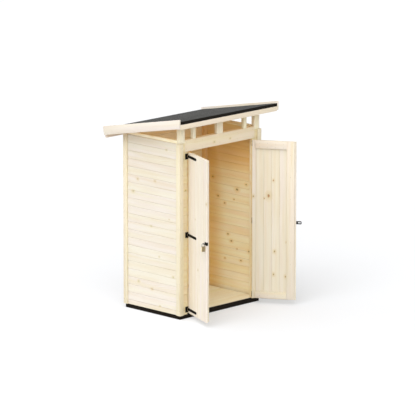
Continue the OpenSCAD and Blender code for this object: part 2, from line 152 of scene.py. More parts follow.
grain, given, result = group(
    "Spruce figure", "ShaderNodeTree",
    {"Place": "Vector", "Piece": "Float", "Nearest": "Float", "Pale": "Color", "Late": "Color",
     "Knot": "Color"},
    {"Color": "Color", "Roughness": "Float", "Height": "Float"})
place, piece, nearest = given.outputs["Place"], given.outputs["Piece"], given.outputs["Nearest"]
shift = [maths(grain, "MULTIPLY", piece, far) for far in LOG_SHIFT]
shift = add(grain, "ShaderNodeCombineXYZ", shift).outputs[0]
own = add(grain, "ShaderNodeVectorMath", [place, shift], operation="ADD").outputs[0]


def stretched(waves, detail=2.0):
    """Noise drawn out along the grain, with so many waves a metre along, across and through."""
    drawn = add(grain, "ShaderNodeVectorMath", [own, waves], operation="MULTIPLY").outputs[0]
    return add(grain, "ShaderNodeTexNoise", {"Vector": drawn, "Scale": 1.0, "Detail": detail}).outputs[0]


sway = stretched((1.1, 11, 11), detail=1.0)
near_knot = maths(grain, "MULTIPLY", maths(grain, "MULTIPLY", nearest, nearest), KNOT_BEND_FADE)
swell = maths(grain, "EXPONENT", near_knot)
across = add(grain, "ShaderNodeSeparateXYZ", [own]).outputs[1]
phase = maths(grain, "MULTIPLY", across, RING_WAVES)
phase = maths(grain, "ADD", phase, maths(grain, "MULTIPLY", sway, RING_SWAY))
phase = maths(grain, "ADD", phase, maths(grain, "MULTIPLY", swell, KNOT_BEND))
ring = maths(grain, "MULTIPLY_ADD", maths(grain, "SINE", phase), 0.5, 0.5)
late = maths(grain, "POWER", ring, LATE_SHARPNESS)
fibre = stretched((9, 900, 900))
cloud = stretched((1.6, 7, 7))
streak = stretched((2.5, 60, 60), detail=3.0)
band = stretched((1.3, 24, 24), detail=1.0)

# Each part of the figure darkens the wood by its weight, and its offset sets how much at its middle.
darkness = 0.0
for part, weight, offset in ((late, 0.34, 0.0), (fibre, 0.16, 0.0), (streak, 0.22, 0.0),
                             (cloud, 0.60, -0.43), (band, 0.90, -0.45)):
    darkness = maths(grain, "ADD", darkness, maths(grain, "MULTIPLY_ADD", part, weight, offset))
darkness = maths(grain, "ADD", maths(grain, "MAXIMUM", darkness, 0.0),
                 maths(grain, "MULTIPLY", piece, BOARD_DIFFERENCE), clamp=True)
wood = mixed(grain, darkness, given.outputs["Pale"], given.outputs["Late"])
hue = maths(grain, "ADD", stretched((0.9, 14, 14), detail=1.0),
            maths(grain, "MULTIPLY_ADD", piece, 0.3, -0.15))
hue = mixed(grain, ramp(grain, hue, 0.35, 0.65), *HUES)
wood = mixed(grain, 1.0, wood, hue, "MULTIPLY")

# A knot has a halo of resin out to a few times its size, and a core that is reddish or greenish.
halo = ramp(grain, nearest, 0.8, 3.6, 0.65, 0.0)
resin = mixed(grain, 1.0, given.outputs["Late"], RESIN, "MULTIPLY")
wood = mixed(grain, halo, wood, resin)
kind = add(grain, "ShaderNodeTexNoise", {"Vector": place, "Scale": 7.0, "Detail": 0.0}).outputs[0]
kind = mixed(grain, ramp(grain, kind, 0.42, 0.58), *KNOT_KINDS)
knot_colour = mixed(grain, 1.0, given.outputs["Knot"], kind, "MULTIPLY")
knot_rings = maths(grain, "SINE", maths(grain, "MULTIPLY", nearest, KNOT_RING_WAVES))
knot_rings = maths(grain, "MULTIPLY_ADD", knot_rings, 0.12, 0.82)
core = maths(grain, "MULTIPLY", ramp(grain, nearest, 0.45, 1.10, 1.0, 0.0), knot_rings)
wood = mixed(grain, core, wood, knot_colour)
grain.links.new(wood, result.inputs["Color"])
grain.links.new(maths(grain, "MULTIPLY_ADD", darkness, -0.12, 0.66), result.inputs["Roughness"])
raised = maths(grain, "MULTIPLY_ADD", fibre, 0.6, maths(grain, "MULTIPLY", late, 0.5))
grain.links.new(raised, result.inputs["Height"])

# The distance to one knot, kept if it is the nearest so far.
knot_tree, given, result = group(
    "One knot", "ShaderNodeTree",
    {"Place": "Vector", "Centre": "Vector", "Size": "Float", "Nearest": "Float"}, {"Nearest": "Float"})
away = add(knot_tree, "ShaderNodeVectorMath", [given.outputs["Place"], given.outputs["Centre"]],
           operation="SUBTRACT").outputs[0]
wobble = add(knot_tree, "ShaderNodeTexNoise",
             {"Vector": given.outputs["Place"], "Scale": 160.0, "Detail": 1.0}).outputs[0]
flat = add(knot_tree, "ShaderNodeVectorMath", [away, KNOT_SHAPE], operation="MULTIPLY").outputs[0]
length = add(knot_tree, "ShaderNodeVectorMath", [flat], operation="LENGTH").outputs["Value"]
in_sizes = maths(knot_tree, "DIVIDE", length, given.outputs["Size"])
in_sizes = maths(knot_tree, "MULTIPLY", in_sizes, maths(knot_tree, "ADD", wobble, 0.5))
knot_tree.links.new(maths(knot_tree, "MINIMUM", in_sizes, given.outputs["Nearest"]), result.inputs[0])


INNER_HALF = 0.008      # a 16 mm board's inner half takes the colours of its inner face
GRAIN_RELIEF = 0.00025


def timber_finish(name, pale, late, knot=(0.34, 0.17, 0.06, 1), knots=(), inside=None, gloss=0.25):
    """A wood material. knots lists (along the boards, across them, radius) in metres. inside gives the
    pale and late colours of the boards' inner faces, or is a function that makes them from the place."""
    material, tree, shader = blank_material(name)
    where = add(tree, "ShaderNodeAttribute", attribute_name="panel").outputs["Vector"]
    which = add(tree, "ShaderNodeAttribute", attribute_name="piece").outputs["Fac"]
    closest = NO_KNOT
    for along, up, radius in knots:
        closest = placed(tree, knot_tree, {"Place": where, "Centre": (along, up, 0), "Size": radius,
                                           "Nearest": closest})["Nearest"]
    if inside:
        along, up, into = add(tree, "ShaderNodeSeparateXYZ", [where]).outputs
        if callable(inside):
            inside = inside(tree, along, up)
        within = maths(tree, "GREATER_THAN", into, INNER_HALF)
        pale, late = mixed(tree, within, pale, inside[0]), mixed(tree, within, late, inside[1])
    figure = placed(tree, grain, {"Place": where, "Piece": which, "Nearest": closest, "Pale": pale,
                                  "Late": late, "Knot": knot})
    tree.links.new(figure["Color"], shader.inputs["Base Color"])
    tree.links.new(figure["Roughness"], shader.inputs["Roughness"])
    bumped(tree, shader, figure["Height"], GRAIN_RELIEF, 0.6)
    shader.inputs["Specular IOR Level"].default_value = gloss
    return material


def merged_copy(*nodes):
    """The solids of some CAD nodes as one bmesh, their triangles merged back to whole faces."""
    shape = bmesh.new()
    for node in nodes:
        shape.from_mesh(frame["nodes"][node].data)
    bmesh.ops.remove_doubles(shape, verts=shape.verts, dist=1e-5)
    bmesh.ops.dissolve_limit(shape, angle_limit=math.radians(0.5), verts=shape.verts, edges=shape.edges)
    return shape


def ease_edges(shape, size):
    """Rounds the edges where two faces meet at more than 30 degrees."""
    sharp = [e for e in shape.edges if len(e.link_faces) == 2 and e.calc_face_angle() > math.radians(30)]
    bmesh.ops.bevel(shape, geom=sharp, offset=size, offset_type="OFFSET", segments=2, profile=0.5,
                    affect="EDGES", clamp_overlap=True)


def islands(shape):
    """The vertices of each separate stick in a bmesh."""
    shape.verts.ensure_lookup_table()
    found = [False] * len(shape.verts)
    for start in shape.verts:
        if found[start.index]:
            continue
        found[start.index] = True
        island = [start]
        for vert in island:
            for edge in vert.link_edges:
                other = edge.other_vert(vert)
                if not found[other.index]:
                    found[other.index] = True
                    island.append(other)
        yield island


def lay_grain(shape, seed):
    """Stores on each stick the place along, across and into its grain, which follows its longest edge."""
    shape.verts.index_update()
    chance = random.Random(seed)
    panel = shape.verts.layers.float_vector.new("panel")
    piece = shape.verts.layers.float.new("piece")
    for island in islands(shape):
        edges = {e for v in island for e in v.link_edges}
        edges = sorted(edges, key=lambda e: (-round(e.calc_length(), 6), e.index))
        along = (edges[0].verts[1].co - edges[0].verts[0].co).normalized()
        if max(along, key=abs) < 0:
            along.negate()
        sides = (e.verts[1].co - e.verts[0].co for e in edges)
        side = next(s for s in sides if abs(s.normalized().dot(along)) < 0.3).normalized()
        depth = along.cross(side).normalized()
        side = depth.cross(along)
        start = Vector([min(v.co.dot(d) for v in island) for d in (along, side, depth)])
        number = chance.random()
        for vert in island:
            vert[panel] = Vector([vert.co.dot(d) for d in (along, side, depth)]) - start
            vert[piece] = number


def as_mesh(name, shape):
    """Turns a bmesh into a mesh."""
    mesh = bpy.data.meshes.new(name)
    shape.to_mesh(mesh)
    shape.free()
    return mesh


def linked(name, data):
    """A new object in the scene."""
    made = bpy.data.objects.new(name, data)
    bpy.context.scene.collection.objects.link(made)
    return made


def finished(name, shape, material, body, nodes):
    """Turns a bmesh into a piece that rides on a body and stands for CAD nodes."""
    mesh = as_mesh(name, shape)
    mesh.shade_smooth()
    mesh.set_sharp_from_angle(angle=math.radians(38))
    mesh.materials.clear()
    mesh.materials.append(material)
    made = linked(name, mesh)
    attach(made, body)
    if nodes:
        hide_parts(*nodes)


def sticks(name, nodes, material, body="shed", ease=ARRIS):
    """Planed timber in the shape of CAD nodes, with eased edges."""
    shape = merged_copy(*nodes)
    ease_edges(shape, ease)
    lay_grain(shape, name)
    finished(name, shape, material, body, nodes)


stained = timber_finish("Black stain on spruce", STAIN_DARK, STAIN_LIGHT, knot=STAIN_DARK, gloss=0.08)
sticks("base_joists", ["base_end_joists", "base_side_joists"], stained)
sticks("threshold_strip", ["threshold"], stained)

# ======== Boarded floor ========
# Planed spruce boards, tongued and grooved, run along the doorway and are nailed to the short joists.
# They stop short of the wall boards, which stand round the floor.

COVER = 0.0856          # of a 95 mm board, what shows beside the next one
GROOVE = 0.0034         # the chamfer of a long edge on the outer face
INNER_GROOVE = 0.0026
GAP = 0.0008
GAP_DEPTH = 0.0022
# Inner faces, paler and more orange than the outer ones: partly the fresher spruce inside and partly painted
# warm light bounced round inside the shed.
PALE_IN = (0.97, 0.84, 0.56, 1)
LATE_IN = (0.87, 0.57, 0.22, 1)


def board_shape(length, thickness):
    """One board along X with its outer face at Y = 0. Its long edges are chamfered and set back to
    the tongue, so that two boards side by side leave a V groove with a thin gap at its root."""
    shape = bmesh.new()
    inner = thickness - INNER_GROOVE
    rise = [(0.0, GROOVE), (GROOVE - GAP, GAP), (GROOVE + GAP_DEPTH, GAP), (GROOVE + GAP_DEPTH, 0.0),
            (inner - GAP_DEPTH, 0.0), (inner - GAP_DEPTH, GAP), (inner + GAP, GAP), (thickness, INNER_GROOVE)]
    outline = rise + [(y, COVER - z) for y, z in reversed(rise)]
    ends = [[shape.verts.new((x, y, z)) for y, z in outline] for x in (0.0, length)]
    for end in ends:
        shape.faces.new(end)
    count = len(outline)
    for i in range(count):
        j = (i + 1) % count
        shape.faces.new((ends[0][j], ends[0][i], ends[1][i], ends[1][j]))
    bmesh.ops.recalc_face_normals(shape, faces=shape.faces)
    return as_mesh("one_board", shape)


# Boards side by side along Z. The first is First wide, the rest cover Cover, the last is cut to Span,
# and no last one is laid where only SLIVER of a board is left.
SLIVER = 0.01
boarding, given, result = group(
    "Boarding", "GeometryNodeTree",
    {"Board": "Geometry", "Cover": "Float", "First": "Float", "Span": "Float", "Seed": "Int",
     "Finish": "Material"}, {"Boards": "Geometry"})
cover, first, span = (given.outputs[n] for n in ("Cover", "First", "Span"))
fitting = maths(boarding, "DIVIDE", maths(boarding, "SUBTRACT", span, first), cover)
count = maths(boarding, "CEIL", maths(boarding, "SUBTRACT", fitting, SLIVER))
index = add(boarding, "GeometryNodeInputIndex").outputs[0]
after_first = maths(boarding, "MULTIPLY_ADD", maths(boarding, "SUBTRACT", index, 1.0), cover, first)
low = maths(boarding, "MULTIPLY", after_first, maths(boarding, "MINIMUM", index, 1.0))
high = maths(boarding, "MINIMUM", span, maths(boarding, "MULTIPLY_ADD", index, cover, first))
points = add(boarding, "GeometryNodePoints", {
    "Count": maths(boarding, "ADD", count, 1.0),
    "Position": add(boarding, "ShaderNodeCombineXYZ", {"Z": low}).outputs[0]})
ripped = maths(boarding, "DIVIDE", maths(boarding, "SUBTRACT", high, low), cover)
rows = add(boarding, "GeometryNodeInstanceOnPoints", {
    "Points": points.outputs[0], "Instance": given.outputs["Board"],
    "Scale": add(boarding, "ShaderNodeCombineXYZ", {"X": 1.0, "Y": 1.0, "Z": ripped}).outputs[0]})
number = add(boarding, "FunctionNodeRandomValue", {"Seed": given.outputs["Seed"]}, data_type="FLOAT")
numbered = add(boarding, "GeometryNodeStoreNamedAttribute",
               {"Geometry": rows.outputs[0], "Name": "piece", "Value": number.outputs[1]},
               data_type="FLOAT", domain="INSTANCE")
real = add(boarding, "GeometryNodeRealizeInstances", [numbered.outputs[0]])
spot = add(boarding, "ShaderNodeSeparateXYZ", [add(boarding, "GeometryNodeInputPosition").outputs[0]]).outputs
measured = add(boarding, "GeometryNodeStoreNamedAttribute",
               {"Geometry": real.outputs[0], "Name": "panel",
                "Value": add(boarding, "ShaderNodeCombineXYZ", [spot[0], spot[2], spot[1]]).outputs[0]},
               data_type="FLOAT_VECTOR", domain="POINT")
lined = add(boarding, "GeometryNodeSetMaterial",
            {"Geometry": measured.outputs[0], "Material": given.outputs["Finish"]})
boarding.links.new(lined.outputs[0], result.inputs[0])


def grown(mesh, tree, values):
    """The plain mesh that a Geometry Nodes tree makes from a mesh."""
    carrier = linked("carrier", mesh)
    modifier = carrier.modifiers.new("Nodes", "NODES")
    modifier.node_group = tree
    for item in tree.interface.items_tree:
        if item.in_out == "INPUT" and item.name in values:
            modifier[item.identifier] = values[item.name]
    bpy.context.view_layer.update()
    evaluated = carrier.evaluated_get(bpy.context.evaluated_depsgraph_get())
    made = bpy.data.meshes.new_from_object(evaluated)
    carrier.modifiers.remove(modifier)
    bpy.data.objects.remove(carrier)
    return made


def on_face(corner, depth, stack):
    """The turn and place of boarding whose outer face is seen from -depth and stacks along stack.
    corner is the point of the outer face where the boards and the stack both start."""
    depth, stack = Vector(depth).normalized(), Vector(stack).normalized()
    along = depth.cross(stack)
    turn = Matrix((along, depth, stack)).transposed().to_4x4()
    return Matrix.Translation(corner) @ turn


def boards(length, span, thickness, where, material, seed, first=COVER):
    """Boarding laid on a face, as a plain mesh in its place."""
    mesh = grown(board_shape(length, thickness), boarding,
                 {"Cover": COVER, "First": first, "Span": span, "Seed": seed, "Finish": material})
    mesh.transform(where)
    return mesh


def boarded(name, meshes, material, body, nodes):
    """One piece from several meshes of boards."""
    shape = bmesh.new()
    for mesh in meshes:
        shape.from_mesh(mesh)
    finished(name, shape, material, body, nodes)


END_GAP = 0.018
# The floor's spruce is paler and less orange than the walls' inner faces: painted light for the daylight
# falling on it through the doorway.
planed_floor = timber_finish("Floor spruce", (0.90, 0.89, 0.73, 1), (0.81, 0.65, 0.39, 1))
low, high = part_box("floor")
boarded("floor_boards", [boards(
    high.x - low.x - 2 * END_GAP, high.y - low.y - END_GAP, high.z - low.z,
    on_face((low.x + END_GAP, low.y, high.z), (0, 0, -1), (0, 1, 0)), planed_floor, seed=3)],
    planed_floor, "shed", ["floor"])

# ======== Walls ========
# The same boards lie level on the posts, one skin thick, so they show from outside and from inside.
# The lowest board is ripped narrow, so that a whole one ends under the plates.

LOWEST_BOARD = 0.050
PALE_OUT = (0.745, 0.715, 0.67, 1)
LATE_OUT = (0.66, 0.55, 0.38, 1)

# Knots: how far along the boards and up the wall, from where both start, and how large.
LEFT_KNOTS = [(0.19, 1.385, 0.008), (0.45, 1.40, 0.007), (0.12, 1.243, 0.009), (0.39, 0.905, 0.006),
              (0.51, 0.59, 0.005), (0.20, 0.275, 0.008), (0.40, 0.222, 0.008), (0.72, 0.405, 0.007),
              (0.62, 1.76, 0.006), (0.52, 0.055, 0.006), (0.66, 1.02, 0.004)]
RIGHT_KNOTS = [(0.68, 1.225, 0.009), (0.315, 1.135, 0.014), (0.18, 1.21, 0.009), (0.60, 1.025, 0.010),
               (0.50, 0.96, 0.009), (0.36, 1.02, 0.006), (0.45, 0.625, 0.009), (0.40, 0.555, 0.010),
               (0.315, 0.48, 0.005), (0.135, 0.48, 0.010), (0.495, 0.35, 0.007), (0.255, 0.36, 0.009)]
BACK_KNOTS = [(0.22, 1.52, 0.008), (0.71, 1.31, 0.007), (0.95, 0.86, 0.009), (0.38, 0.62, 0.006),
              (0.83, 0.33, 0.008), (0.12, 0.18, 0.007), (0.55, 1.07, 0.006)]
PALE_KNOT = (0.44, 0.36, 0.26, 1)
BROWN_KNOT = (0.32, 0.215, 0.09, 1)
# Inner colours of the right wall with painted light and shade: where the doorway's light falls, deeper in the
# shade, and the tint of the lintel's painted shadow.
DOORWAY_LIT_IN = ((1.0, 0.97, 0.79, 1), (0.90, 0.67, 0.33, 1))
SHADED_DEEP_IN = ((0.89, 0.69, 0.36, 1), (0.78, 0.47, 0.17, 1))
LINTEL_SHADOW_TINT = (0.98, 0.86, 0.67, 1)

# Painted light and shade inside the right wall, in metres: where painted doorway light gives way to
# painted shade towards the back and up the wall, and where the lintel's painted shadow starts and ends.
BACK_SHADE_RAMP = (0.46, 0.70)
TOP_SHADE_RAMP = (1.1, 1.7)
SHADOW_FOOT = (1.15, 1.50)
SHADOW_HEAD = (1.60, 1.78)


def painted_doorway_light(tree, along, up):
    """The pale and late colours of a wall's inner face, with painted light from the doorway, painted shade
    towards the back and the top, and a painted shadow behind the lintel.
    """
    in_shade = maths(tree, "MAXIMUM", ramp(tree, along, *BACK_SHADE_RAMP), ramp(tree, up, *TOP_SHADE_RAMP, 0.0, 0.85))
    shadow = maths(tree, "MULTIPLY", ramp(tree, up, *SHADOW_FOOT), ramp(tree, up, *SHADOW_HEAD, 1.0, 0.0))
    colours = [mixed(tree, in_shade, lit_colour, shaded_colour) for lit_colour, shaded_colour in zip(DOORWAY_LIT_IN, SHADED_DEEP_IN)]
    return [mixed(tree, shadow, colour, mixed(tree, 1.0, colour, LINTEL_SHADOW_TINT, "MULTIPLY"))
            for colour in colours]


wall_finish = {
    "left": timber_finish("Wall spruce, left", PALE_OUT, LATE_OUT, knot=PALE_KNOT, knots=LEFT_KNOTS,
                          inside=(PALE_IN, LATE_IN)),
    # The right wall's inner face takes painted doorway light and painted shade.
    "right": timber_finish("Wall spruce, right", PALE_OUT, LATE_OUT, knot=BROWN_KNOT, knots=RIGHT_KNOTS,
                           inside=painted_doorway_light),
    "back": timber_finish("Wall spruce, back", PALE_OUT, LATE_OUT, knot=PALE_KNOT, knots=BACK_KNOTS,
                          inside=(PALE_IN, LATE_IN))}

for side, inward in (("left", 1), ("right", -1)):
    low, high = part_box(side + "_wall")
    outer_x, start_y = (low.x, high.y) if side == "left" else (high.x, low.y)
    boarded(side + "_wall_boards", [boards(
        high.y - low.y, high.z - low.z, high.x - low.x,
        on_face((outer_x, start_y, low.z), (inward, 0, 0), (0, 0, 1)), wall_finish[side],
        first=LOWEST_BOARD, seed=5 + inward)], wall_finish[side], "shed", [side + "_wall"])

low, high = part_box("back_wall")
boarded("back_wall_boards", [boards(
    high.x - low.x, high.z - low.z, high.y - low.y,
    on_face((high.x, high.y, low.z), (0, -1, 0), (0, 0, 1)), wall_finish["back"],
    first=LOWEST_BOARD, seed=9)], wall_finish["back"], "shed", ["back_wall"])

# Beside the doorway short boards make a strip; above the door's height it steps back for the lintel.
# The strips' spruce is yellower and darker than the walls': painted warm shade beside the open leaves.
strip_finish = timber_finish("Front strip spruce", (0.79, 0.70, 0.49, 1), (0.68, 0.53, 0.28, 1),
                             knots=[(0.067, 1.345, 0.006)], inside=(PALE_IN, LATE_IN))
wall_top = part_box("left_wall")[1].z
lintel_low, lintel_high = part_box("lintel")
for side in ("left", "right"):
    low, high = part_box("front_panel_" + side)
    inner = lintel_low.x if side == "left" else lintel_high.x
    lower_height = lintel_low.z - low.z
    whole_boards = math.floor((lower_height - LOWEST_BOARD) / COVER)
    shown = lower_height - LOWEST_BOARD - whole_boards * COVER
    upper = (low.x, inner) if side == "left" else (inner, high.x)
    boarded(side + "_front_strip", [
        boards(high.x - low.x, lower_height, high.y - low.y,
               on_face((low.x, low.y, low.z), (0, 1, 0), (0, 0, 1)), strip_finish,
               first=LOWEST_BOARD, seed=12),
        boards(upper[1] - upper[0], wall_top - lintel_low.z, high.y - low.y,
               on_face((upper[0], low.y, lintel_low.z), (0, 1, 0), (0, 0, 1)), strip_finish,
               first=COVER - shown, seed=13)],
        strip_finish, "shed", ["front_panel_" + side])

# ======== Posts, plates and lintel ========
# Planed spruce studs stand in the corners inside the boards and carry flat plates. The lintel is one
# wide board across the doorway, nailed to the front posts and the plate behind it.

# Rafters and cross plates take the inner faces' colours, with their painted warm bounced light.
framing = timber_finish("Framing spruce", PALE_IN, LATE_IN)
# The front posts and the side plates take the inner colours as lit from the doorway: painted light.
doorway_lit_framing = timber_finish("Framing spruce with painted doorway light", *DOORWAY_LIT_IN)
sticks("front_corner_posts", ["front_posts"], doorway_lit_framing)
# The back posts take a darker, more orange spruce: painted shade.
shaded = timber_finish("Shaded framing spruce", (0.90, 0.64, 0.32, 1), (0.78, 0.46, 0.16, 1))
sticks("back_corner_posts", ["back_posts"], shaded)
sticks("side_wall_plates", ["side_plates"], doorway_lit_framing)
sticks("cross_wall_plates", ["back_plate", "front_plate"], framing)
lintel_finish = timber_finish("Lintel spruce", (0.80, 0.72, 0.57, 1), (0.72, 0.57, 0.34, 1), knot=PALE_KNOT,
                              knots=[(0.44, 0.045, 0.008), (0.68, 0.05, 0.007)])
sticks("lintel_board", ["lintel"], lintel_finish)

# ======== Corner boards ========
# Two planed spruce boards cover each corner, nailed to the ends of the wall boards. The front or back
# one laps over the edge of the side one.

CORNER_JOINT = 0.0006
CORNER_ARRIS = 0.002
facing = timber_finish("Facing spruce", (0.76, 0.71, 0.575, 1), (0.66, 0.545, 0.33, 1))


def plank(shape, corner, opposite):
    """A box between two opposite corners, added to a bmesh."""
    low, high = [[pick(pair) for pair in zip(corner, opposite)] for pick in (min, max)]
    for vert in bmesh.ops.create_cube(shape, size=1.0)["verts"]:
        vert.co = Vector([a if c < 0 else b for a, b, c in zip(low, high, vert.co)])


shape = bmesh.new()
corner_nodes = []
wall_low, wall_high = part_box("left_wall")[0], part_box("right_wall")[1]
for end in ("front", "back"):
    for side in ("left", "right"):
        node = f"corner_boards_{end}_{side}"
        corner_nodes.append(node)
        low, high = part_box(node)
        wall_x, outer_x, inner_x = wall_low.x, low.x, high.x
        if side == "right":
            wall_x, outer_x, inner_x = wall_high.x, high.x, low.x
        wall_y, outer_y, inner_y = wall_low.y, low.y, high.y
        if end == "back":
            wall_y, outer_y, inner_y = wall_high.y, high.y, low.y
        joint_y = wall_y + math.copysign(CORNER_JOINT, inner_y - wall_y)
        plank(shape, (outer_x, outer_y, low.z), (inner_x, wall_y, high.z))
        plank(shape, (outer_x, joint_y, low.z), (wall_x, inner_y, high.z))
ease_edges(shape, CORNER_ARRIS)
lay_grain(shape, "corner boards")
finished("corner_boards", shape, facing, "shed", corner_nodes)

# ======== Open row over the lintel ========
# Short studs of planed spruce stand on the front plate and carry a beam for the rafters, nailed at
# both ends. Light and air pass between them.

# The short studs and the beam are paler than the walls' spruce, the beam almost white: painted light against
# the shade under the roof.
stud_finish = timber_finish("Short stud spruce", (0.86, 0.82, 0.67, 1), (0.78, 0.69, 0.47, 1))
beam_finish = timber_finish("Front trim spruce", (0.99, 0.945, 0.88, 1), (0.92, 0.81, 0.64, 1))
sticks("short_studs", ["clerestory_studs"], stud_finish)
sticks("front_beam", ["top_beam"], beam_finish)

# ======== Roof ========
# Spruce rafters run down to the back on the beam and the back plate, and boards are nailed across
# them. Fascias close the front and the back edge, and bargeboards cover the boards' ends.

BARGE_ARRIS = 0.002
sticks("roof_rafters", ["rafters"], framing)
# The roof boards show only from inside; their deep orange is painted warm shade under the roof.
roof_finish = timber_finish("Roof board spruce", (0.97, 0.61, 0.29, 1), (0.85, 0.42, 0.14, 1))
deck = merged_copy("roof_deck")
deck_low, deck_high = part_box("roof_deck")
deck_corners = [v.co.copy() for v in deck.verts]
deck.free()
front_bottom = min(deck_corners, key=lambda c: (round(c.y, 4), c.z, -c.x))
back_bottom = min(deck_corners, key=lambda c: (-round(c.y, 4), c.z, -c.x))
front_top = max(deck_corners, key=lambda c: (-round(c.y, 4), c.z, c.x))
slope = back_bottom - front_bottom
normal = Vector((1, 0, 0)).cross(slope).normalized()
boarded("roof_boards", [boards(
    deck_high.x - deck_low.x, slope.length, (front_top - front_bottom).dot(normal),
    on_face(front_bottom, normal, slope), roof_finish, seed=21)],
    roof_finish, "shed", ["roof_deck"])
fascia_finish = timber_finish("Fascia spruce", (0.79, 0.70, 0.605, 1), (0.72, 0.60, 0.44, 1))
sticks("fascia_boards", ["front_fascia", "rear_fascia"], fascia_finish)
barge_finish = timber_finish("Bargeboard spruce", (0.76, 0.715, 0.67, 1), (0.67, 0.575, 0.45, 1))
sticks("bargeboards", ["left_bargeboard", "right_bargeboard"], barge_finish, ease=BARGE_ARRIS)

# ======== Roofing felt ========
# Bitumen felt with slate granules covers the boards and is turned down over the front and back
# edges. Its faces that do not look up are plain and nearly black.

GRANULE = (0.092, 0.092, 0.090, 1)
GRANULE_DARK = (0.030, 0.030, 0.029, 1)
STEEP_FACE_BLACK = (0.010, 0.008, 0.006, 1)
GRANULES = 420.0        # to the metre
GRANULE_RELIEF = 0.0012
FOLD_RADIUS = 0.0014

felt, tree, shader = blank_material("Slate granule felt")
where = add(tree, "ShaderNodeTexCoord").outputs["Object"]
grit = add(tree, "ShaderNodeTexVoronoi", {"Vector": where, "Scale": GRANULES})
patch = add(tree, "ShaderNodeTexNoise", {"Vector": where, "Scale": 7.0, "Detail": 4.0}).outputs[0]
speck = add(tree, "ShaderNodeSeparateColor", [grit.outputs["Color"]]).outputs[0]
shade = maths(tree, "MULTIPLY_ADD", patch, 0.5, maths(tree, "MULTIPLY_ADD", speck, 0.7, -0.1), clamp=True)
colour = mixed(tree, shade, GRANULE_DARK, GRANULE)
normal = add(tree, "ShaderNodeNewGeometry").outputs["Normal"]
# Faces that do not look up take the plain black colour instead of the granules' colour.
top_side = ramp(tree, add(tree, "ShaderNodeSeparateXYZ", [normal]).outputs[2], 0.5, 0.9)
tree.links.new(mixed(tree, top_side, STEEP_FACE_BLACK, colour), shader.inputs["Base Color"])
tree.links.new(ramp(tree, speck, 0.0, 1.0, 0.95, 0.75), shader.inputs["Roughness"])
bumped(tree, shader, grit.outputs["Distance"], GRANULE_RELIEF, 0.5)
shader.inputs["Specular IOR Level"].default_value = 0.1

cloth = merged_copy("roof_felt")
ease_edges(cloth, FOLD_RADIUS)
finished("felt_sheet", cloth, felt, "shed", ["roof_felt"])

# ======== Doors ========
# Each leaf is upright tongued and grooved boards, nailed from inside to two rails and to a stile at
# its free edge, all of planed spruce. The board at the free edge is whole, the one at the pins ripped.

FREE_BOARD = 0.095
DOOR_KNOTS = {"left": [(1.27, 0.011, 0.007), (0.52, 0.228, 0.006), (1.05, 0.30, 0.004)],
              "right": [(0.43, 0.247, 0.007), (0.60, 0.300, 0.016), (0.63, 0.348, 0.006),
                        (0.613, 0.466, 0.008), (1.10, 0.104, 0.006), (1.207, 0.233, 0.009),
                        (1.46, 0.243, 0.008), (1.478, 0.113, 0.008)]}
PALE_LEAF = (0.80, 0.75, 0.70, 1)
LATE_LEAF = (0.70, 0.58, 0.43, 1)
PALE_BACK = (0.75, 0.71, 0.64, 1)
LATE_BACK = (0.66, 0.53, 0.35, 1)
door_frame = timber_finish("Door frame spruce", PALE_BACK, LATE_BACK)
joint = {j["child"]: j for j in frame["joints"]}

# The turn that shuts each leaf, which stands open. Its joint shuts at the limit that is further off.
shut_turn = {}
for side in ("left", "right"):
    hinge = joint[side + "_door"]
    shut_at = math.radians(max(hinge["range_deg"], key=abs))
    pin = Vector(hinge["pos_m"])
    shut_turn[side] = Matrix.Translation(pin) @ Matrix.Rotation(shut_at, 4, "Z") @ Matrix.Translation(-pin)


def box_round(places):
    """The two corners of the box round some points."""
    return [Vector([pick(p[i] for p in places) for i in range(3)]) for pick in (min, max)]


def shut_box(node, side):
    """The corners of a door's node with the door shut."""
    return box_round([shut_turn[side] @ v.co for v in frame["nodes"][node].data.vertices])


for side in ("left", "right"):
    body = side + "_door"
    finish = timber_finish(f"Door spruce, {side}", PALE_LEAF, LATE_LEAF, knots=DOOR_KNOTS[side],
                           inside=(PALE_BACK, LATE_BACK))
    low, high = shut_box(body + "_boards", side)
    to_hinge = Vector((-1, 0, 0)) if side == "left" else Vector((1, 0, 0))
    start = Vector((high.x, low.y, low.z)) if side == "left" else Vector((low.x, low.y, high.z))
    mesh = boards(high.z - low.z, high.x - low.x, high.y - low.y, on_face(start, (0, 1, 0), to_hinge),
                  finish, first=FREE_BOARD, seed=31)
    mesh.transform(shut_turn[side].inverted())
    boarded(body + "_cladding", [mesh], finish, body, [body + "_boards"])
    sticks(body + "_rails", [body + "_ledges"], door_frame, body=body)

# ======== Hinges ========
# Black powder-coated steel T-hinges, three to a leaf: a plate screwed beside the doorway, a pin in
# three knuckles, and a long strap screwed across the leaf.

METAL_ARRIS = 0.0004
COAT_DARK = (0.0015, 0.0015, 0.0015, 1)
COAT_DUSTY = (0.005, 0.0045, 0.004, 1)

coat, tree, shader = blank_material("Black powder coat")
where = add(tree, "ShaderNodeTexCoord").outputs["Object"]
peel = add(tree, "ShaderNodeTexNoise", {"Vector": where, "Scale": 900.0, "Detail": 2.0}).outputs[0]
dust = add(tree, "ShaderNodeTexNoise", {"Vector": where, "Scale": 60.0, "Detail": 4.0}).outputs[0]
tree.links.new(mixed(tree, dust, COAT_DARK, COAT_DUSTY), shader.inputs["Base Color"])
tree.links.new(ramp(tree, dust, 0.3, 0.7, 0.42, 0.60), shader.inputs["Roughness"])
shader.inputs["Specular IOR Level"].default_value = 0.1
bumped(tree, shader, peel, 0.0002, 0.4)


def hardware(name, nodes, material, body, ease=METAL_ARRIS):
    """Metalwork in the shape of CAD nodes, its edges slightly rounded."""
    shape = merged_copy(*nodes)
    ease_edges(shape, ease)
    finished(name, shape, material, body, nodes)


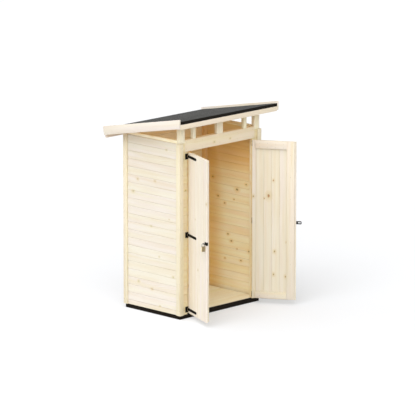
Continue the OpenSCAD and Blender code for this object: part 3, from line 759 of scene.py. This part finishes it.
for side in ("left", "right"):
    hardware(side + "_hinge_plates", ["hinge_plates_" + side], coat, "shed")
    hardware(side + "_hinge_straps", [side + "_door_straps"], coat, side + "_door")

# ======== Hasp and staple ========
# Black powder-coated steel. The hasp's plate is screwed to the right leaf and its slotted flap turns
# over the staple, a bent rod riveted to a plate on the left leaf.

hardware("staple_and_plate", ["staple"], coat, "left_door")
hardware("hasp_fixed_plate", ["hasp_plate"], coat, "right_door")
hardware("hasp_slotted_flap", ["hasp_flap"], coat, "hasp_flap")

# ======== Padlock ========
# A solid brass body, brushed across, with painted shade towards its edges for the reflections of a
# rounded body, hangs by its hardened steel shackle from the staple.

BRASS_ARRIS = 0.0009
LIT_WIDTH = 0.72      # the share of the body's half width, and of its half height, that the painted edge shade leaves bright
LIT_HEIGHT = 0.82
# Painted shade at the body's edges, for the dark reflections at the sides of a rounded body.
EDGE_SHADE = (0.12, 0.075, 0.02, 1)
BRASS = ((0.96, 0.78, 0.46, 1), (1.0, 0.88, 0.60, 1))
STEEL = ((0.34, 0.33, 0.30, 1), (0.48, 0.47, 0.44, 1))

brass, tree, shader = blank_material("Brushed brass")
where = add(tree, "ShaderNodeTexCoord").outputs["Object"]
lines = add(tree, "ShaderNodeVectorMath", [where, (1, 1, 40)], operation="MULTIPLY").outputs[0]
brush = add(tree, "ShaderNodeTexNoise", {"Vector": lines, "Scale": 120.0, "Detail": 3.0}).outputs[0]
metal = mixed(tree, brush, *BRASS)
# Painted shade, stronger the further a point lies from the body's middle across it and up it.
edge_shade = 0.0
body_points = [v.co for v in frame["nodes"]["padlock_body"].data.vertices]
width_way = Vector(joint["padlock"]["axis"])
for direction, lit_share in ((width_way, LIT_WIDTH), (Vector((0, 0, 1)), LIT_HEIGHT)):
    spread = [p.dot(direction) for p in body_points]
    middle, half = (max(spread) + min(spread)) / 2, (max(spread) - min(spread)) / 2
    level = add(tree, "ShaderNodeVectorMath", [where, direction], operation="DOT_PRODUCT").outputs["Value"]
    off = maths(tree, "ABSOLUTE", maths(tree, "DIVIDE", maths(tree, "SUBTRACT", level, middle), half))
    edge_shade = maths(tree, "MAXIMUM", edge_shade, ramp(tree, off, lit_share, 1.0, 0.0, 0.85))
tree.links.new(mixed(tree, edge_shade, metal, EDGE_SHADE), shader.inputs["Base Color"])
tree.links.new(ramp(tree, brush, 0.2, 0.8, 0.22, 0.40), shader.inputs["Roughness"])
shader.inputs["Metallic"].default_value = 0.35

steel, tree, shader = blank_material("Hardened steel")
where = add(tree, "ShaderNodeTexCoord").outputs["Object"]
haze = add(tree, "ShaderNodeTexNoise", {"Vector": where, "Scale": 300.0, "Detail": 3.0}).outputs[0]
tree.links.new(mixed(tree, haze, *STEEL), shader.inputs["Base Color"])
tree.links.new(ramp(tree, haze, 0.3, 0.7, 0.16, 0.28), shader.inputs["Roughness"])
shader.inputs["Metallic"].default_value = 1.0

hardware("padlock_brass_body", ["padlock_body"], brass, "padlock", ease=BRASS_ARRIS)
hardware("padlock_steel_shackle", ["padlock_shackle"], steel, "padlock")

# ======== Nails and screws ========
# Round wire nails hold the boards and trims, and broad clout nails hold the felt's front edge. Black
# screws with a cross recess hold the hinges, the hasp and the staple. Each is driven almost flush.

NAIL_RADIUS = 0.0021
CLOUT_RADIUS = 0.0042
SCREW_RADIUS = 0.0037
HEAD_SIDES = 12


def turned_head(radius, rise, rim, recess=None):
    """A low round head on Z = 0, rim high at its edge and rise at its middle. recess gives a cross
    recess's half length, half width and depth."""
    shape = bmesh.new()
    angles = [2 * math.pi * (k + 0.5) / HEAD_SIDES for k in range(HEAD_SIDES)]
    rings = [[(radius * math.cos(a), radius * math.sin(a), z) for a in angles] for z in (-rise, rim)]
    if recess:
        reach, half, depth = recess
        cross = [(reach, half), (half, half), (half, reach)]
        cross += [(-y, x) for x, y in cross]
        cross += [(-x, -y) for x, y in cross]
        rings += [[(x, y, z) for x, y in cross] for z in (rise, rise - depth)]
    else:
        rings += [[(0.6 * x, 0.6 * y, rise) for x, y, _ in rings[0]]]
    rings = [[shape.verts.new(co) for co in ring] for ring in rings]
    for below, above in zip(rings, rings[1:]):
        for k in range(HEAD_SIDES):
            j = (k + 1) % HEAD_SIDES
            shape.faces.new((below[k], below[j], above[j], above[k]))
    if recess:
        bmesh.ops.triangulate(shape, faces=[shape.faces.new(rings[-1])])
    else:
        shape.faces.new(rings[-1])
    return linked("head", as_mesh("head", shape))


# One head on each point, turned to face the way the point says and spun by chance.
fixing, given, result = group(
    "Fixings", "GeometryNodeTree",
    {"Places": "Geometry", "Head": "Object", "Seed": "Int", "Finish": "Material"}, {"Heads": "Geometry"})
faces_way = add(fixing, "GeometryNodeInputNamedAttribute", {"Name": "facing"}, data_type="FLOAT_VECTOR")
aligned = add(fixing, "FunctionNodeAlignRotationToVector", {"Vector": faces_way.outputs[0]}, axis="Z")
chance = add(fixing, "FunctionNodeRandomValue", {"Seed": given.outputs["Seed"]}, data_type="FLOAT").outputs[1]
spin = add(fixing, "FunctionNodeAxisAngleToRotation",
           {"Axis": (0, 0, 1), "Angle": maths(fixing, "MULTIPLY", chance, 2 * math.pi)})
heading = add(fixing, "FunctionNodeRotateRotation", [aligned.outputs[0], spin.outputs[0]],
              rotation_space="LOCAL")
driven = add(fixing, "GeometryNodeInstanceOnPoints", {
    "Points": given.outputs["Places"],
    "Instance": add(fixing, "GeometryNodeObjectInfo", {"Object": given.outputs["Head"]}).outputs["Geometry"],
    "Rotation": heading.outputs[0]})
solid = add(fixing, "GeometryNodeRealizeInstances", [driven.outputs[0]])
coated = add(fixing, "GeometryNodeSetMaterial",
             {"Geometry": solid.outputs[0], "Material": given.outputs["Finish"]})
fixing.links.new(coated.outputs[0], result.inputs[0])


def fixings(name, places, head, material, body, turn=None, seed=41):
    """A head at each (place, facing), as one piece. turn carries places given with a door shut."""
    points = bpy.data.meshes.new(name)
    points.from_pydata([place for place, _ in places], [], [])
    facing = points.attributes.new("facing", "FLOAT_VECTOR", "POINT")
    for datum, (_, way) in zip(facing.data, places):
        datum.vector = way
    shape = bmesh.new()
    shape.from_mesh(grown(points, fixing, {"Head": head, "Seed": seed, "Finish": material}))
    if turn:
        shape.transform(turn)
    finished(name, shape, material, body, [])


def solids(node, turn=None):
    """The two corners of each separate solid of a CAD node."""
    shape = merged_copy(node)
    if turn:
        shape.transform(turn)
    corners = [box_round([v.co for v in solid]) for solid in islands(shape)]
    shape.free()
    return corners


nail = turned_head(NAIL_RADIUS, rise=0.0004, rim=0.0002)
clout = turned_head(CLOUT_RADIUS, rise=0.0009, rim=0.0005)
screw = turned_head(SCREW_RADIUS, rise=0.0006, rim=0.0003, recess=(0.0019, 0.0005, 0.00045))

TO_FRONT, TO_BACK, UP = (0, -1, 0), (0, 1, 0), (0, 0, 1)
PAIR = (0.25, 0.75)             # where two nails stand across a board, as shares of its width
LINTEL_PAIR = (0.22, 0.78)
STUD_PAIR = (0.3, 0.7)
CORNER_NAIL_ROWS = 7
CORNER_NAIL_END = 0.04
SIDE_NAIL_RISE = 0.012          # the side's nails miss the front's
LINTEL_NAIL_END = 0.025


def evenly(low, high, count):
    """count places from low to high, evenly apart."""
    return [low + k * (high - low) / (count - 1) for k in range(count)]


# Floor boards: two nails in each board at each joist.
places = []
low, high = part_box("floor")
for joist_low, joist_high in solids("base_side_joists"):
    for row in range(1, int((high.y - low.y) / COVER)):
        for share in PAIR:
            places.append((((joist_low.x + joist_high.x) / 2, low.y + (row + share) * COVER, high.z), UP))

# Corner boards: pairs up each board, on the front or back and on the side.
for end, outwards in (("front", TO_FRONT), ("back", TO_BACK)):
    for side, sideways in (("left", (-1, 0, 0)), ("right", (1, 0, 0))):
        low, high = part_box(f"corner_boards_{end}_{side}")
        for z in evenly(low.z + CORNER_NAIL_END, high.z - CORNER_NAIL_END, CORNER_NAIL_ROWS):
            for share in PAIR:
                x, y = low.x + share * (high.x - low.x), low.y + share * (high.y - low.y)
                places.append(((x, low.y if end == "front" else high.y, z), outwards))
                places.append(((low.x if side == "left" else high.x, y, z + SIDE_NAIL_RISE), sideways))

# Lintel and beam: pairs at the lintel's ends and between them, and at each short stud.
low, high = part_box("lintel")
for x in (low.x + LINTEL_NAIL_END, low.x * 0.5, 0.0, high.x * 0.5, high.x - LINTEL_NAIL_END):
    for share in LINTEL_PAIR:
        places.append(((x, low.y, low.z + share * (high.z - low.z)), TO_FRONT))
beam_low, beam_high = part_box("top_beam")
beam_middle = (beam_low.z + beam_high.z) / 2
for stud_low, stud_high in solids("clerestory_studs"):
    for share in STUD_PAIR:
        places.append(((stud_low.x + share * (stud_high.x - stud_low.x), beam_low.y, beam_middle), TO_FRONT))

fixings("shed_nails", places, nail, steel, "shed")

# Doors: a pair of nails in each board at both rails and a row down the stile, driven from inside.
STILE_NAIL_ROWS = 7
STILE_NAIL_END = 0.15
RAIL_NAILS = (0.03, 0.07)
NAILED_BOARDS = 4
STILE_NAIL_SHARE = 0.6          # of the free board's width
for side, way in (("left", -1), ("right", 1)):
    body = side + "_door"
    low, high = shut_box(body + "_ledges", side)
    free_x = shut_box(body + "_boards", side)[1 if side == "left" else 0].x
    stile_x = free_x + way * FREE_BOARD * STILE_NAIL_SHARE
    places = [((stile_x, high.y, z), TO_BACK)
              for z in evenly(low.z + STILE_NAIL_END, high.z - STILE_NAIL_END, STILE_NAIL_ROWS)]
    for column in range(NAILED_BOARDS):
        x = free_x + way * (FREE_BOARD + (column + 0.5) * COVER)
        for z in [low.z + up for up in RAIL_NAILS] + [high.z - down for down in reversed(RAIL_NAILS)]:
            places.append(((x, high.y, z), TO_BACK))
    fixings(body + "_nails", places, nail, steel, body, shut_turn[side].inverted())

# Felt: clout nails through the strip that is turned down over the front edge.
CLOUTS = 15
CLOUT_END = 0.03
low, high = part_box("roof_felt")
turned_down = [v.co.z for v in frame["nodes"]["roof_felt"].data.vertices if v.co.y < low.y + 0.0005]
strip_middle = (min(turned_down) + max(turned_down)) / 2
places = [((x, low.y, strip_middle), TO_FRONT) for x in evenly(low.x + CLOUT_END, high.x - CLOUT_END, CLOUTS)]
fixings("felt_clouts", places, clout, coat, "shed")


NEAR = 0.002


def front_face(node, x, side=None):
    """Where the front face of a CAD node lies near x, with its door shut if it has one."""
    turn = shut_turn[side] if side else Matrix()
    corners = [turn @ v.co for v in frame["nodes"][node].data.vertices]
    return min(p.y for p in corners if abs(p.x - x) < NEAR)


# Ironmongery: three screws in each hinge plate and strap, four in each plate of the hasp.
PLATE_SCREW_EDGE = 0.009
PLATE_SCREWS = (0.15, 0.50, 0.85)
STRAP_SCREWS = (0.22, 0.55, 0.88)
HASP_SCREWS = (0.18, 0.82)
STAPLE_COLUMNS = (0.006, 0.009)  # in from the left and the right edge
HASP_COLUMNS = (0.018, 0.006)   # in from the right edge
plate_screws = []
for side, way in (("left", 1), ("right", -1)):
    body, end = side + "_door", 0 if side == "left" else 1
    for corners in solids("hinge_plates_" + side):
        x, (low, high) = corners[end].x, corners
        y = front_face("hinge_plates_" + side, x)
        for share in PLATE_SCREWS:
            plate_screws.append(((x + way * PLATE_SCREW_EDGE, y, low.z + share * (high.z - low.z)), TO_FRONT))
    leaf_screws = []
    for low, high in solids(body + "_straps", shut_turn[side]):
        pin_x, tip_x = joint[body]["pos_m"][0], high.x if side == "left" else low.x
        y = front_face(body + "_straps", tip_x, side)
        for share in STRAP_SCREWS:
            leaf_screws.append(((pin_x + share * (tip_x - pin_x), y, (low.z + high.z) / 2), TO_FRONT))
    plate = "staple" if side == "left" else "hasp_plate"
    low, high = shut_box(plate, side)
    if side == "left":
        edge_x, columns = low.x, (low.x + STAPLE_COLUMNS[0], high.x - STAPLE_COLUMNS[1])
    else:
        edge_x, columns = high.x, [high.x - inset for inset in HASP_COLUMNS]
    y = front_face(plate, edge_x, side)
    for x in columns:
        for share in HASP_SCREWS:
            leaf_screws.append(((x, y, low.z + share * (high.z - low.z)), TO_FRONT))
    fixings(body + "_screws", leaf_screws, screw, coat, body, shut_turn[side].inverted(), 43)
fixings("hinge_plate_screws", plate_screws, screw, coat, "shed", seed=44)
for head in (nail, clout, screw):
    bpy.data.objects.remove(head)

# ======== Floor, light and camera ========
# A white studio floor under an even white surround, which the camera sees brighter than they light the
# shed. A broad soft key comes from the left, a fill from above and a weak light from the front.

FLOOR_TINT = (0.66, 0.675, 0.71, 1)
FLOOR_SEEN = (0.50, 0.51, 0.535, 1)
FLOOR_GLOW = 0.37
FLOOR_REACH = 150.0
SURROUND = (0.46, 0.45, 0.42, 1)
WHITE = (1, 1, 1, 1)
LIGHTS = {"key": ((-0.65, -0.37, 0.66), 2.50, 66, (1.0, 1.0, 1.0)),
          "fill": ((-0.35, 0.35, 0.87), 1.0, 70, (1.0, 1.0, 1.0)),
          "front": ((0.32, -0.88, 0.34), 0.50, 50, (1.0, 0.99, 0.96))}


def seen_directly(tree):
    """1 for a ray from the camera, straight or by way of a mirror or glass; 0 for light on a surface."""
    path = add(tree, "ShaderNodeLightPath").outputs
    return maths(tree, "MAXIMUM", path["Is Camera Ray"],
                 maths(tree, "MAXIMUM", path["Is Glossy Ray"], path["Is Transmission Ray"]))


ground_material, tree, shader = blank_material("White studio floor")
shader.inputs["Roughness"].default_value = 0.9
shader.inputs["Specular IOR Level"].default_value = 0.0
seen = seen_directly(tree)
tree.links.new(mixed(tree, seen, FLOOR_TINT, FLOOR_SEEN), shader.inputs["Base Color"])
shader.inputs["Emission Color"].default_value = WHITE
tree.links.new(maths(tree, "MULTIPLY", seen, FLOOR_GLOW), shader.inputs["Emission Strength"])
floor_mesh = bpy.data.meshes.new("studio_floor")
ground_z = cad_bounds[0][2]
corners = [(x * FLOOR_REACH, y * FLOOR_REACH, ground_z) for x, y in ((-1, -1), (1, -1), (1, 1), (-1, 1))]
floor_mesh.from_pydata(corners, [], [(0, 1, 2, 3)])
floor_mesh.materials.append(ground_material)
studio_floor = linked("studio_floor", floor_mesh)

world = bpy.data.worlds.new("Studio")
bpy.context.scene.world = world
world.use_nodes = True
tree = world.node_tree
surround = mixed(tree, seen_directly(tree), SURROUND, WHITE)
tree.links.new(surround, tree.nodes["Background"].inputs["Color"])

for name, (comes_from, strength, spread, tint) in LIGHTS.items():
    sun = bpy.data.lights.new(name, "SUN")
    sun.energy, sun.angle, sun.color = strength, math.radians(spread), tint
    lamp = linked(name, sun)
    lamp.rotation_euler = Vector(comes_from).to_track_quat("Z", "Y").to_euler()

CAMERA_PLACE = (-29.556, -29.393, 10.266)
CAMERA_TILT = 12.458            # degrees below level
CAMERA_TURN = 45.379            # degrees from the front towards the left side
CAMERA_LENS = 347.0             # millimetres
camera_data = bpy.data.cameras.new("camera")
camera_data.lens = CAMERA_LENS
camera_data.clip_end = 400.0
camera = linked("camera", camera_data)
camera.location = CAMERA_PLACE
camera.rotation_euler = (math.radians(90 - CAMERA_TILT), 0, -math.radians(CAMERA_TURN))
bpy.context.scene.camera = camera
bpy.context.scene.view_settings.view_transform = "Standard"
